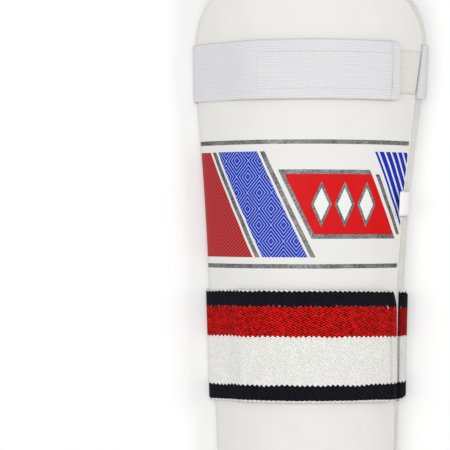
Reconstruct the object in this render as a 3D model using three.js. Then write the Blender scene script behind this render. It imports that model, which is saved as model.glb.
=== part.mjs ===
import * as THREE from 'three';

// Cricket arm guard: an arched pad that lies open side down on its two elastic straps.
// Millimetres. +Z is up, +Y runs to the elbow end and +X to the right of the padded front.
// The origin is on the surface that the guard lies on, in the middle of its length and width.

// Whole guard
const guardLength = 310;
const elbowHalfWidth = 70.6;
const wristHalfWidth = 54;
const elbowHeight = 44;
const wristHeight = 36;
const axisLean = 2.6;
const pieceGap = 0.3;

// Looks
const shellLook = { color: 0xecebe9, roughness: 0.5 };
const liningLook = { color: 0xebe9e6, roughness: 1 };
const whiteElasticLook = { color: 0xe2e1e3, roughness: 0.9 };
const stripedElasticLook = { color: 0xb6221f, roughness: 0.9 };
const patchLook = { color: 0xe0ded7, roughness: 0.95 };
const labelLook = { color: 0xf2f0ee, roughness: 0.8 };

// Padding
const shellThickness = 8.5;
const liningThickness = 5.2;
const elbowEndReach = 50;
const wristEndReach = 24;
const elbowEndFullness = 2.2;
const wristEndFullness = 2.8;
const seamGroove = 1.1;
const seamTaper = 9;
const seamGap = 0.45;

// Seam between shell and lining, as travel over the rim from its outermost line
const rightSeamTravel = 14.8;
const endSeamTravel = 7.5;
const leftSeamTravel = -4.9;

// Straps: the upper one's middle is set back from the elbow end, the lower one's from the wrist end
const upperStrapSetBack = 63.85;
const lowerStrapSetBack = 84.05;
const upperStrap = {
  name: 'upper_strap',
  look: whiteElasticLook,
  width: 34.7,
  thickness: 1.2,
  middle: guardLength / 2 - upperStrapSetBack,
  freeEnd: 51.5,
  cornerCut: 2,
  hold: 0.32,
};
const lowerStrap = {
  name: 'lower_strap',
  look: stripedElasticLook,
  width: 65.3,
  thickness: 1.6,
  middle: lowerStrapSetBack - guardLength / 2,
  freeEnd: 55,
  cornerCut: 3.5,
  hold: 0.54,
};
const foldLength = 5;
const foldGrowth = 0.8;
const rampLength = 14;
const rootBackTurn = 0.08;

// Hook and loop patches, by how far across the front they start and stop
const patchThickness = 1.2;
const upperLoop = { name: 'upper_loop_patch', width: 24.4, from: -26, to: 68.5 };
const upperHook = { name: 'upper_hook_patch', width: 22, from: -33, to: 46 };
const lowerLoop = { name: 'lower_loop_patch', width: 42, from: -28, to: 59 };
const lowerHook = { name: 'lower_hook_patch', width: 44, from: -37, to: 49.5 };

// Side label, a folded tape sewn into the right seam, by its share of the way between the straps
const labelPlace = 0.545;
const labelLength = 14.5;
const labelThickness = 0.6;
const labelRootTurn = 0.08;
const labelRise = 0.22;
const labelFreeRun = 9.8;

// Shape of the guard from the elbow end, at 0, to the wrist end, at 1.
// spread: share of the difference between the two half widths.
// lean: share of the sideways lean of the middle line, to the left.
// seam: share of the right seam's travel over the rim.
const bodyShape = [
  { at: 0.0, spread: 1.0, lean: 0.37, seam: 0.85 },
  { at: 0.15, spread: 0.965, lean: 0.0, seam: 0.86 },
  { at: 0.27, spread: 0.81, lean: 0.42, seam: 1.0 },
  { at: 0.4, spread: 0.565, lean: 0.82, seam: 0.95 },
  { at: 0.5, spread: 0.42, lean: 1.0, seam: 1.0 },
  { at: 0.63, spread: 0.285, lean: 1.07, seam: 1.03 },
  { at: 0.85, spread: 0.07, lean: 0.92, seam: 0.84 },
  { at: 1.0, spread: 0.0, lean: 0.87, seam: 0.82 },
];

// Shares of the way over each pad's edge where a ring of points lies
const rimSteps = [0, 0.3, 0.45, 0.59, 0.71, 0.82, 0.92, 1];
const joinSteps = [0.14, 0.34, 0.62, 1];

// Counts
const endPoints = 10;
const sidePoints = 15;
const fillColumns = 12;
const rimTurns = 10;
const flatSteps = 6;
const archSteps = 28;
const strapStations = 5;
const patchSteps = 12;
const labelSteps = 6;

const padThickness = shellThickness + pieceGap + liningThickness;
const rimRadius = padThickness / 2;
const rimQuarter = (rimRadius * Math.PI) / 2;
const elbowY = guardLength / 2;

function curveThrough(rows, column) {
  const places = rows.map((row) => row.at);
  const values = rows.map((row) => row[column]);
  const curve = new THREE.CubicInterpolant(places, values, 1);
  return (at) => curve.evaluate(at)[0];
}

const spreadAt = curveThrough(bodyShape, 'spread');
const leanAt = curveThrough(bodyShape, 'lean');
const seamShareAt = curveThrough(bodyShape, 'seam');

function smooth(share) {
  return THREE.MathUtils.smoothstep(share, 0, 1);
}

function mix(from, to, share) {
  return THREE.MathUtils.lerp(from, to, share);
}

function steps(count) {
  return Array.from({ length: count + 1 }, (_, index) => index / count);
}

function shareAlong(y) {
  return (elbowY - y) / guardLength;
}

function elbowEdge(strap) {
  return strap.middle + strap.width / 2;
}

function wristEdge(strap) {
  return strap.middle - strap.width / 2;
}

// The pad's edges rest on the two straps, which differ in thickness.
function liftAt(y) {
  const share = (upperStrap.middle - y) / (upperStrap.middle - lowerStrap.middle);
  return mix(upperStrap.thickness, lowerStrap.thickness, share) + pieceGap;
}

function halfWidthAt(y) {
  return mix(wristHalfWidth, elbowHalfWidth, spreadAt(shareAlong(y)));
}

// One section across the guard: a round arch that ends in a round rim on each side.
function sectionAt(y, spareWidth = 0, lift = liftAt(y)) {
  const crown = mix(elbowHeight, wristHeight, shareAlong(y));
  const rimX = halfWidthAt(y) + spareWidth - rimRadius;
  const rimZ = lift + rimRadius;
  const rise = crown - rimRadius - rimZ;
  const middleRadius = (rimX * rimX + rise * rise) / (2 * rise);
  return {
    y,
    centreX: -axisLean * leanAt(shareAlong(y)),
    centreZ: crown - rimRadius - middleRadius,
    radius: middleRadius + rimRadius,
    slope: Math.atan2(rimX, middleRadius - rise),
    rimX,
    rimZ,
  };
}

// A point over the outer face of the arch: how far across from the crown, and how high.
function onArch(section, across, height) {
  const turn = across / section.radius;
  const reach = section.radius + height;
  const x = section.centreX + reach * Math.sin(turn);
  const z = section.centreZ + reach * Math.cos(turn);
  return new THREE.Vector3(x, section.y, z);
}

// A point round the rim on one side, by its turn from straight up towards the right.
function roundRim(section, side, turn, reach) {
  const x = section.centreX + side * section.rimX + reach * Math.sin(turn);
  const z = section.rimZ + reach * Math.cos(turn);
  return new THREE.Vector3(x, section.y, z);
}

function edgeAcross(y) {
  const section = sectionAt(y);
  return section.radius * section.slope + rimRadius;
}

// One rounded end of the flat pattern, from its side to its middle, in even steps.
function endCurve(baseY, reach, fullness) {
  const samples = steps(3 * endPoints).map((share) => {
    const angle = (share * Math.PI) / 2;
    const y = baseY + reach * Math.sin(angle) ** (2 / fullness);
    return new THREE.Vector2(edgeAcross(y) * Math.cos(angle) ** (2 / fullness), y);
  });
  const spaced = new THREE.SplineCurve(samples).getSpacedPoints(endPoints);
  return spaced.map(({ x, y }) => ({ across: x, y }));
}

// The right half of the flat pattern, from the middle of the elbow end to the wrist end.
function halfPattern() {
  const elbowBase = elbowY - elbowEndReach;
  const wristBase = -elbowY + wristEndReach;
  const elbowEnd = endCurve(elbowBase, elbowEndReach, elbowEndFullness).reverse();
  const wristEnd = endCurve(wristBase, -wristEndReach, wristEndFullness);
  const side = steps(sidePoints)
    .slice(1, -1)
    .map((share) => mix(elbowBase, wristBase, share))
    .map((y) => ({ across: edgeAcross(y), y }));
  elbowEnd[0].across = 0;
  wristEnd.at(-1).across = 0;
  return [...elbowEnd, ...side, ...wristEnd];
}

// The whole pattern as a loop, each point with the direction that faces out of it.
function fullPattern() {
  const right = halfPattern();
  const left = right.slice(1, -1).reverse();
  const loop = [...right, ...left.map(({ across, y }) => ({ across: -across, y }))];
  return loop.map((point, index) => {
    const before = loop[(index + loop.length - 1) % loop.length];
    const after = loop[(index + 1) % loop.length];
    const along = new THREE.Vector2(after.across - before.across, after.y - before.y);
    along.normalize();
    return { ...point, outAcross: -along.y, outY: along.x };
  });
}

// The seam lies over the rim on the right, on it at the ends and under it on the left.
function seamTravel({ y, outAcross }) {
  const rightTravel = rightSeamTravel * seamShareAt(shareAlong(y));
  const sideTravel = outAcross > 0 ? rightTravel : leftSeamTravel;
  return mix(endSeamTravel, sideTravel, smooth(Math.abs(outAcross)));
}

// Travel over the pad's edge, 0 at its outermost line, as inset from it and height.
function edgeProfile(travel) {
  const beyond = Math.max(Math.abs(travel) - rimQuarter, 0);
  const turn = THREE.MathUtils.clamp(travel, -rimQuarter, rimQuarter) / rimRadius;
  return {
    inset: rimRadius * (1 - Math.cos(turn)) + beyond,
    height: rimRadius * (Math.sin(turn) - 1),
  };
}

// The groove of the seam: its point lies deeper than the faces beside it.
function seamPoint(travel) {
  const { inset, height } = edgeProfile(travel);
  const turn = THREE.MathUtils.clamp(travel, -rimQuarter, rimQuarter) / rimRadius;
  return {
    inset: inset + seamGroove * Math.cos(turn),
    height: height - seamGroove * Math.sin(turn),
  };
}

// From the seam inwards, the face where shell and lining meet.
function joinProfile(seam, share) {
  return {
    inset: seam.inset + seamTaper * share,
    height: mix(seam.height, -shellThickness, smooth(share)),
  };
}

// A closed solid is gathered as shared points and the faces between them.
class Solid {
  constructor() {
    this.points = [];
    this.faces = [];
  }

  point(vector) {
    this.points.push(vector.x, vector.y, vector.z);
    return this.points.length / 3 - 1;
  }

  quad(a, b, c, d) {
    if (a !== b && b !== c && a !== c) this.faces.push(a, b, c);
    if (a !== c && c !== d && a !== d) this.faces.push(a, c, d);
  }

  mesh(name, look) {
    const geometry = new THREE.BufferGeometry();
    geometry.setAttribute('position', new THREE.Float32BufferAttribute(this.points, 3));
    geometry.setIndex(this.faces);
    geometry.computeVertexNormals();
    const material = new THREE.MeshStandardMaterial({ ...look, metalness: 0 });
    const mesh = new THREE.Mesh(geometry, material);
    mesh.name = name;
    return mesh;
  }
}

// One face of a pad inside its ring of points, in rows from the left edge to the right.
function fillFace(solid, ring, places, faceUp) {
  const half = ring.length / 2;
  const rows = steps(half).map((_, row) => {
    const right = places[row];
    const left = places[(ring.length - row) % ring.length];
    return steps(fillColumns).map((share, column) => {
      if (column === 0 || row === 0 || row === half) return ring[(ring.length - row) % ring.length];
      if (column === fillColumns) return ring[row];
      const across = mix(left.across, right.across, share);
      return solid.point(onArch(sectionAt(right.y), across, right.height));
    });
  });
  for (let row = 0; row < half; row += 1) {
    for (let column = 0; column < fillColumns; column += 1) {
      const first = rows[row][column];
      const below = rows[row + 1][column];
      const opposite = rows[row + 1][column + 1];
      const beside = rows[row][column + 1];
      if (faceUp) solid.quad(first, below, opposite, beside);
      else solid.quad(first, beside, opposite, below);
    }
  }
}

// A pad from rings of profile points, the first round its upper face, the last its lower.
// Pads that lie on each other split their faces along the same lines.
function padSolid(name, look, profileOf, inwardFirst) {
  const solid = new Solid();
  const pattern = fullPattern();
  const profiles = pattern.map((point) => profileOf(seamTravel(point)));
  const places = profiles[0].map((_, ring) =>
    pattern.map((point, index) => {
      const { inset, height } = profiles[index][ring];
      const across = point.across - inset * point.outAcross;
      return { across, y: point.y - inset * point.outY, height };
    }),
  );
  const rings = places.map((ring) =>
    ring.map(({ across, y, height }) => solid.point(onArch(sectionAt(y), across, height))),
  );
  for (let ring = 0; ring + 1 < rings.length; ring += 1) {
    for (let index = 0; index < pattern.length; index += 1) {
      const next = (index + 1) % pattern.length;
      const near = [rings[ring][index], rings[ring][next]];
      const far = [rings[ring + 1][next], rings[ring + 1][index]];
      if (inwardFirst) solid.quad(near[1], ...far, near[0]);
      else solid.quad(...near, ...far);
    }
  }
  fillFace(solid, rings[0], places[0], true);
  fillFace(solid, rings.at(-1), places.at(-1), false);
  return solid.mesh(name, look);
}

// The travel at which a face over or under the rim lies as deep in the pad as its taper ends.
function startTravel(seam) {
  return rimQuarter + seam.inset + seamTaper - rimRadius;
}

// The padded front: over the rim to the seam, then back inwards over the lining.
function shellProfile(travel) {
  const seam = seamPoint(travel);
  const topStart = startTravel(seam);
  const over = rimSteps.slice(0, -1).map((share) => edgeProfile(mix(topStart, travel, share)));
  const under = joinSteps.map((share) => joinProfile(seam, share));
  return [...over, seam, ...under];
}

// The towelling lining: over the shell's taper to the seam, then round under the rim.
function liningProfile(travel) {
  const seam = seamPoint(travel - seamGap);
  const bottomStart = -startTravel(seam);
  const under = rimSteps.slice(0, -1).map((share) => edgeProfile(mix(bottomStart, travel, share)));
  const over = joinSteps.map((share) => {
    const { inset, height } = joinProfile(seam, share);
    return { inset, height: height - pieceGap };
  });
  const edge = { inset: seam.inset, height: seam.height - pieceGap };
  return [...over.reverse(), edge, ...under.reverse()];
}

// A thin sheet between two grids of points, rows along it and columns towards the wrist.
function sheetSolid(outerGrid, innerGrid) {
  const solid = new Solid();
  const outer = outerGrid.map((row) => row.map((point) => solid.point(point)));
  const inner = innerGrid.map((row) => row.map((point) => solid.point(point)));
  const lastRow = outer.length - 1;
  const lastColumn = outer[0].length - 1;
  for (let row = 0; row < lastRow; row += 1) {
    for (let column = 0; column < lastColumn; column += 1) {
      solid.quad(
        outer[row][column],
        outer[row][column + 1],
        outer[row + 1][column + 1],
        outer[row + 1][column],
      );
      solid.quad(
        inner[row][column],
        inner[row + 1][column],
        inner[row + 1][column + 1],
        inner[row][column + 1],
      );
    }
    solid.quad(outer[row][0], outer[row + 1][0], inner[row + 1][0], inner[row][0]);
    solid.quad(
      outer[row][lastColumn],
      inner[row][lastColumn],
      inner[row + 1][lastColumn],
      outer[row + 1][lastColumn],
    );
  }
  for (let column = 0; column < lastColumn; column += 1) {
    solid.quad(outer[0][column], inner[0][column], inner[0][column + 1], outer[0][column + 1]);
    solid.quad(
      outer[lastRow][column],
      outer[lastRow][column + 1],
      inner[lastRow][column + 1],
      inner[lastRow][column],
    );
  }
  return solid;
}

// A strap is cut straight, so it stands off the guard where the guard grows narrower.
function strapSection(strap, y) {
  const spareWidth = (halfWidthAt(elbowEdge(strap)) - halfWidthAt(y)) * strap.hold;
  return sectionAt(y, spareWidth, strap.thickness + pieceGap);
}

// How high the underside of a strap lies over the front: on the pad, then on its patches.
function strapHeight(hook, across) {
  const patches = 2 * (patchThickness + pieceGap);
  return pieceGap + patches * smooth((across - hook.from + rampLength) / rampLength);
}

// The two faces of a strap at one place of its width, from its root to its free end.
function strapFaces(strap, hook, y, corner) {
  const section = strapSection(strap, y);
  const inner = rimRadius + pieceGap;
  const outer = inner + strap.thickness;
  const endAcross = strap.freeEnd - strap.cornerCut * corner;
  const faces = [];
  for (const share of steps(rimTurns)) {
    const turn = mix(section.slope - rootBackTurn, Math.PI, share);
    faces.push([roundRim(section, 1, turn, outer), roundRim(section, 1, turn, inner)]);
  }
  for (const share of steps(flatSteps).slice(1, -1)) {
    const x = section.centreX + mix(section.rimX, -section.rimX, share);
    faces.push([new THREE.Vector3(x, y, 0), new THREE.Vector3(x, y, strap.thickness)]);
  }
  for (const share of steps(rimTurns)) {
    const turn = mix(Math.PI, 2 * Math.PI - section.slope, share);
    faces.push([roundRim(section, -1, turn, outer), roundRim(section, -1, turn, inner)]);
  }
  for (const share of steps(archSteps).slice(1)) {
    const across = mix(-section.radius * section.slope, endAcross, share);
    const low = strapHeight(hook, across);
    const fold = smooth((across - endAcross + foldLength) / (foldLength / 2));
    const under = low - foldGrowth * strap.thickness * fold;
    faces.push([onArch(section, across, low + strap.thickness), onArch(section, across, under)]);
  }
  return faces;
}

function strapMesh(strap, hook) {
  const stations = steps(strapStations).map((share) => {
    const y = mix(elbowEdge(strap), wristEdge(strap), share);
    const corner = share === 0 || share === 1 ? 1 : 0;
    return strapFaces(strap, hook, y, corner);
  });
  const grid = (face) => stations[0].map((_, row) => stations.map((station) => station[row][face]));
  return sheetSolid(grid(0), grid(1)).mesh(strap.name, strap.look);
}

// A patch over the front, between two heights above the pad or under the strap.
function patchMesh(patch, strap, sectionOf, lowHeight) {
  const rows = steps(patchSteps).map((share) => mix(patch.from, patch.to, share));
  const edges = [1, 0, -1].map((side) => strap.middle + (side * patch.width) / 2);
  const grid = (rise) => rows.map((across) =>
    edges.map((y) => onArch(sectionOf(y), across, lowHeight + rise)),
  );
  return sheetSolid(grid(patchThickness), grid(0)).mesh(patch.name, patchLook);
}

function loopPatch(patch, strap) {
  return patchMesh(patch, strap, (y) => sectionAt(y), pieceGap);
}

function hookPatch(patch, strap) {
  const height = patchThickness + 2 * pieceGap;
  return patchMesh(patch, strap, (y) => strapSection(strap, y), height);
}

// The label lies round the rim from its seam and lifts its folded edge off the front.
function labelFaces(y) {
  const section = sectionAt(y);
  const inner = rimRadius + pieceGap;
  const outer = inner + labelThickness;
  const faces = steps(labelSteps).map((share) => {
    const turn = mix(section.slope + labelRootTurn, section.slope, share);
    return [roundRim(section, 1, turn, outer), roundRim(section, 1, turn, inner)];
  });
  const turn = section.slope + labelRise;
  const away = new THREE.Vector3(-Math.cos(turn), 0, Math.sin(turn)).multiplyScalar(labelFreeRun);
  faces.push(faces.at(-1).map((point) => point.clone().add(away)));
  return faces.reverse();
}

function labelMesh() {
  const middle = mix(wristEdge(upperStrap), elbowEdge(lowerStrap), labelPlace);
  const stations = [1, -1].map((end) => labelFaces(middle + (end * labelLength) / 2));
  const grid = (face) => stations[0].map((_, row) => stations.map((station) => station[row][face]));
  return sheetSolid(grid(0), grid(1)).mesh('side_label', labelLook);
}

const armGuard = new THREE.Group();
armGuard.name = 'arm_guard';
armGuard.add(padSolid('shell_pad', shellLook, shellProfile, false));
armGuard.add(padSolid('lining_pad', liningLook, liningProfile, true));
armGuard.add(strapMesh(upperStrap, upperHook));
armGuard.add(loopPatch(upperLoop, upperStrap));
armGuard.add(hookPatch(upperHook, upperStrap));
armGuard.add(strapMesh(lowerStrap, lowerHook));
armGuard.add(loopPatch(lowerLoop, lowerStrap));
armGuard.add(hookPatch(lowerHook, lowerStrap));
armGuard.add(labelMesh());

export default armGuard;
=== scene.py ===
import math
from dataclasses import dataclass
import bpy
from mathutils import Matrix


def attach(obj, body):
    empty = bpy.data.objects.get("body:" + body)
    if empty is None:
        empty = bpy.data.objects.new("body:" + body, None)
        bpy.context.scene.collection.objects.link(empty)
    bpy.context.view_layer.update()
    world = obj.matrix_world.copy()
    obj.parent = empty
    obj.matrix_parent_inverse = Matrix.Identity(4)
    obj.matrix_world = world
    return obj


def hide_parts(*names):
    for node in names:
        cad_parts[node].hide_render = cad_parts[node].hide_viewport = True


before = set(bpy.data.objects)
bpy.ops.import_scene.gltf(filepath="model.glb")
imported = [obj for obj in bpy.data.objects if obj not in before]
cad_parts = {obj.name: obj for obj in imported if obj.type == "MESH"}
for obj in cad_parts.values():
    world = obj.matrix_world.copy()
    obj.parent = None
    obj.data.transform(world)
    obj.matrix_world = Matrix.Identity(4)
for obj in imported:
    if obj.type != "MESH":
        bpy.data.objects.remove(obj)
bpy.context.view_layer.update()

from types import SimpleNamespace

import bpy
import numpy as np
from mathutils import Vector, geometry, kdtree, noise

# All sizes are millimetres until a mesh is made. The solids' own sizes come first.
MM = 0.001
LENGTH = 310.0
ELBOW_HALF, WRIST_HALF = 70.6, 54.0
ELBOW_HEIGHT, WRIST_HEIGHT = 44.0, 36.0
LEAN = 2.6
GAP = 0.3
SHELL, LINING, PATCH = 8.5, 5.2, 1.2

# Each end's round: how far it reaches along the guard, and how full it is. An ellipse has 2.
ELBOW_REACH, WRIST_REACH = 50.0, 24.0
ELBOW_FULL, WRIST_FULL = 2.2, 2.8

# The seam's groove, and how far round the edge the seam lies on the right, at the ends and on the left.
SEAM_GROOVE, SEAM_TAPER, SEAM_GAP = 1.1, 9.0, 0.45
RIGHT_SEAM, END_SEAM, LEFT_SEAM = 14.8, 7.5, -4.9

# Patches: width along the guard, start and stop across the front, and the stitch rows from the middle.
UPPER_LOOP = SimpleNamespace(width=26.0, start=-26.0, stop=68.5, seam=9.8)
LOWER_LOOP = SimpleNamespace(width=42.0, start=-28.0, stop=59.0, seam=18.6)
UPPER_HOOK = SimpleNamespace(width=22.0, start=-33.0, stop=46.0)
LOWER_HOOK = SimpleNamespace(width=44.0, start=-37.0, stop=49.5)


@dataclass
class Strap:
    """Sizes of a strap. Pairs are for its elbow side and its wrist side."""
    width: float
    thick: float
    top: float  # the elbow side's place along the guard
    end: float  # the free end's place across the front
    hook: SimpleNamespace  # its patch, which holds it up
    ramp: float  # length of its rise onto the patches
    dip: float  # how far the free end comes down again
    hold: float  # share of the guard's taper that it evens out
    off: tuple  # how far it stands off the right rim
    root_back: float  # how far its root starts behind the seam
    root_slant: float  # how much less that is at the wrist side
    root_pull: tuple  # how far the root's sides are drawn towards the strap's middle
    narrow: tuple  # how far its sides come in where it turns down on the right
    soft: int  # how thin the strip is that comes in
    bow: tuple  # how far its sides bow along the guard, and how much more at both ends of the front
    corners: tuple  # each corner of the free end: how far it is cut back, and over what width
    lean: tuple  # how far the whole of each side is cut back
    fold: SimpleNamespace
    drawn: tuple = (0,) * 7  # how far the knit is drawn aside at the root, at the shares in DRAWN_AT


# A fold at a free end: its seam's place back from the end, depth and width, then how high it rises after
# the seam and how far it drops at the very end, each with its length.
UPPER = Strap(
    width=34.7, thick=1.2, top=108.5, end=51.9, hook=UPPER_HOOK, ramp=27.0, dip=0.5, hold=0.32,
    off=(-0.2, 0.8), root_back=-1.5, root_slant=0.0, root_pull=(0.0, 1.8), narrow=(1.0, 1.2), soft=3,
    bow=(0.0, 0.0, 0.0), corners=((2.6, 4.0), (1.0, 1.5)), lean=(0.1, -1.5),
    fold=SimpleNamespace(back=(4.2, 6.1), groove=(0.5, 0.6), rise=(0.35, 0.8), drop=(0.3, 1.0)),
)
LOWER = Strap(
    width=65.3, thick=1.6, top=-38.3, end=55.9, hook=LOWER_HOOK, ramp=14.0, dip=1.2, hold=0.54,
    off=(0.8, 0.7), root_back=1.6, root_slant=2.2, root_pull=(0.8, -2.3), narrow=(3.2, 3.2), soft=8,
    bow=(-0.55, 0.8, 1.1), corners=((5.2, 13.0), (2.6, 5.0)), lean=(0.3, 0.3),
    fold=SimpleNamespace(back=(5.2, 5.2), groove=(0.6, 0.7), rise=(0.5, 1.0), drop=(0.4, 1.2)),
    drawn=(0, -0.6, -1.4, -1.0, 0.6, 0.3, 0),
)
DRAWN_AT = (0, 0.06, 0.2, 0.41, 0.86, 0.95, 1)

# The camera looks straight down. A picture is 2 * MIDDLE_PIXEL pixels wide, and each is PIXEL millimetres
# on a sheet FOCAL millimetres from the camera. A row is ROW millimetres along the guard's crown.
CAMERA_X, CAMERA_Z, FOCAL = -52.0, 992.0, 950.0
MIDDLE_PIXEL, PIXEL, ROW = 225, 0.585, 0.5855

# Stitches by pixels of the picture: left, right, top and low side of each box, a loose tack from one
# point to the other, and loose threads with their start and their run.
UPPER_BOX = (257, 393.0, 52.0, 88.6)
LOWER_BOX = (250, 388.6, 304, 378.6)
TACK = ((386.9, 305.6), (388.8, 310.6))
LOOSE_THREADS = (
    (356, 401.6, 2.4, 3.0),
    (361.5, 402.2, 4.6, 1.4),
    (369, 401.8, -1.6, 2.8),
    (372, 401.6, 3.2, 2.2),
)

# Shape from the elbow end, 0, to the wrist end, 1: share of spread, of lean, of the right seam's travel.
SHAPE = np.array([
    (0.0, 1.0, 0.37, 0.85),
    (0.15, 0.965, 0.0, 0.86),
    (0.27, 0.81, 0.42, 1.0),
    (0.4, 0.565, 0.82, 0.95),
    (0.5, 0.42, 1.0, 1.0),
    (0.63, 0.285, 1.07, 1.03),
    (0.85, 0.07, 0.92, 0.84),
    (1.0, 0.0, 0.87, 0.82),
])

PAD = SHELL + GAP + LINING
RIM = PAD / 2
QUARTER = RIM * math.pi / 2


def mix(a, b, share):
    return a + (b - a) * share


def smooth(share):
    share = np.clip(share, 0, 1)
    return share * share * (3 - 2 * share)


def curve(column, at):
    """The solids' own curve through one column of SHAPE."""
    t, v = SHAPE[:, 0], SHAPE[:, column]
    at = np.clip(np.asarray(at, float), 0, 1)
    i = np.clip(np.searchsorted(t, at, side="right"), 1, len(t) - 1)
    last = len(t) - 1
    before = np.where(i >= 2, i - 2, i)
    after = np.where(i < last, np.minimum(i + 1, last), i - 1)
    half = (t[i] - t[i - 1]) / 2
    w0 = half / (t[i - 1] - t[before])
    w1 = half / (t[after] - t[i])
    p = (at - t[i - 1]) / (t[i] - t[i - 1])
    p2, p3 = p * p, p * p * p
    return (
        (-w0 * p3 + 2 * w0 * p2 - w0 * p) * v[before]
        + ((1 + w0) * p3 + (-1.5 - 2 * w0) * p2 + (-0.5 + w0) * p + 1) * v[i - 1]
        + ((-1 - w1) * p3 + (1.5 + w1) * p2 + 0.5 * p) * v[i]
        + (w1 * p3 - w1 * p2) * v[after]
    )


def along(y):
    return (LENGTH / 2 - y) / LENGTH


def half_width(y):
    return mix(WRIST_HALF, ELBOW_HALF, curve(1, along(y)))


def lift_at(y):
    upper, lower = UPPER.top - UPPER.width / 2, LOWER.top - LOWER.width / 2
    return mix(UPPER.thick, LOWER.thick, (upper - y) / (upper - lower)) + GAP


def section(y, spare=0.0, lift=None):
    """One section across the guard: a round arch that ends in a round rim on each side."""
    y = np.asarray(y, float)
    lift = lift_at(y) if lift is None else lift
    crown = mix(ELBOW_HEIGHT, WRIST_HEIGHT, along(y))
    rim_x = half_width(y) + spare - RIM
    rim_z = lift + RIM
    rise = crown - RIM - rim_z
    middle = (rim_x * rim_x + rise * rise) / (2 * rise)
    return SimpleNamespace(
        y=y,
        x=-LEAN * curve(2, along(y)),
        z=crown - RIM - middle,
        radius=middle + RIM,
        slope=np.arctan2(rim_x, middle - rise),
        rim_x=rim_x,
        rim_z=rim_z,
    )


def strap_section(strap, y):
    """The section that a strap follows."""
    spare = (half_width(strap.top) - half_width(y)) * strap.hold
    return section(y, spare, strap.thick + GAP)


def points(x, y, z):
    return np.stack(np.broadcast_arrays(x, y, z), -1)


def on_arch(s, across, height):
    turn = across / s.radius
    reach = s.radius + height
    return points(s.x + reach * np.sin(turn), s.y, s.z + reach * np.cos(turn))


def round_rim(s, side, turn, reach):
    return points(s.x + side * s.rim_x + reach * np.sin(turn), s.y, s.rim_z + reach * np.cos(turn))


def edge_across(y):
    s = section(y)
    return s.radius * s.slope + RIM


# The flat pattern and the pads' edges

def resample(path, step):
    gaps = np.hypot(*np.diff(path, axis=0).T)
    run = np.concatenate([[0], np.cumsum(gaps)])
    places = np.linspace(0, run[-1], max(2, round(run[-1] / step)) + 1)
    return np.stack([np.interp(places, run, path[:, k]) for k in range(2)], -1)


END_SAMPLES, SIDE_SAMPLES = 400, 300


def half_pattern(step):
    angles = np.linspace(0, math.pi / 2, END_SAMPLES)

    def end(base, reach, full):
        y = base + reach * np.sin(angles) ** (2 / full)
        return np.stack([edge_across(y) * np.cos(angles) ** (2 / full), y], -1)

    elbow, wrist = LENGTH / 2 - ELBOW_REACH, -LENGTH / 2 + WRIST_REACH
    side_y = np.linspace(elbow, wrist, SIDE_SAMPLES)[1:-1]
    side = np.stack([edge_across(side_y), side_y], -1)
    path = np.concatenate([
        end(elbow, ELBOW_REACH, ELBOW_FULL)[::-1], side, end(wrist, -WRIST_REACH, WRIST_FULL)
    ])
    path[0, 0] = path[-1, 0] = 0
    return resample(path, step)


def full_pattern(step):
    """The pattern's loop, clockwise from the elbow end's middle: across, y and the way out of it."""
    right = half_pattern(step)
    left = right[1:-1][::-1] * (-1, 1)
    loop = np.concatenate([right, left])
    tangent = np.roll(loop, -1, 0) - np.roll(loop, 1, 0)
    tangent /= np.hypot(*tangent.T)[:, None]
    return loop, np.stack([-tangent[:, 1], tangent[:, 0]], -1)


def seam_travel(loop, out):
    right = RIGHT_SEAM * curve(3, along(loop[:, 1]))
    side = np.where(out[:, 0] > 0, right, LEFT_SEAM)
    return mix(END_SEAM, side, smooth(np.abs(out[:, 0])))


def edge_profile(travel):
    beyond = np.maximum(np.abs(travel) - QUARTER, 0)
    turn = np.clip(travel, -QUARTER, QUARTER) / RIM
    return RIM * (1 - np.cos(turn)) + beyond, RIM * (np.sin(turn) - 1)


def edge_out(travel):
    """The way out of the pad's face at that travel: outwards and upwards shares."""
    turn = np.clip(travel, -QUARTER, QUARTER) / RIM
    return np.cos(turn), np.sin(turn)


def place(loop, out, inset, height):
    flat = loop - inset[:, None] * out
    return on_arch(section(flat[:, 1]), flat[:, 0], height), flat


# Meshes

def make(name, verts, faces, material, uv=None):
    mesh = bpy.data.meshes.new(name)
    mesh.from_pydata((np.asarray(verts) * MM).tolist(), [], faces)
    mesh.update()
    mesh.polygons.foreach_set("use_smooth", [True] * len(mesh.polygons))
    if uv is not None:
        layer = mesh.uv_layers.new(name="cloth")
        corner = np.empty(len(mesh.loops), int)
        mesh.loops.foreach_get("vertex_index", corner)
        layer.uv.foreach_set("vector", np.asarray(uv, float)[corner].ravel())
    obj = bpy.data.objects.new(name, mesh)
    bpy.context.scene.collection.objects.link(obj)
    if material:
        mesh.materials.append(material)
    return obj


def finished(obj, slot, *nodes):
    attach(obj, "root")
    if nodes:
        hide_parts(*nodes)


def rounds(rings, count, start=0, looped=False):
    """Faces from each ring of count points to the next, and from the last to the first if looped."""
    faces = []
    for r in range(rings if looped else rings - 1):
        a = start + r * count
        b = start + (r + 1) % rings * count
        for i in range(count):
            j = (i + 1) % count
            faces.append((a + i, a + j, b + j, b + i))
    return faces


def sheet_faces(rows, columns):
    """Faces of a thin sheet made of two grids, the upper one's points first, with a closed rim."""
    size = rows * columns
    faces = []
    for r in range(rows - 1):
        for c in range(columns - 1):
            a = r * columns + c
            faces.append((a, a + 1, a + columns + 1, a + columns))
            faces.append((a + size, a + columns + size, a + columns + 1 + size, a + 1 + size))
    rim = list(range(columns)) + [r * columns + columns - 1 for r in range(1, rows)]
    rim += [(rows - 1) * columns + c for c in range(columns - 2, -1, -1)]
    rim += [r * columns for r in range(rows - 2, 0, -1)]
    for a, b in zip(rim, rim[1:] + rim[:1]):
        faces.append((b, a, a + size, b + size))
    return faces


# A row of even triangles is this share of their sides high, and points keep this share off the ring.
ROW_SHARE, CLEAR_SHARE = 0.866, 0.6


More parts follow.
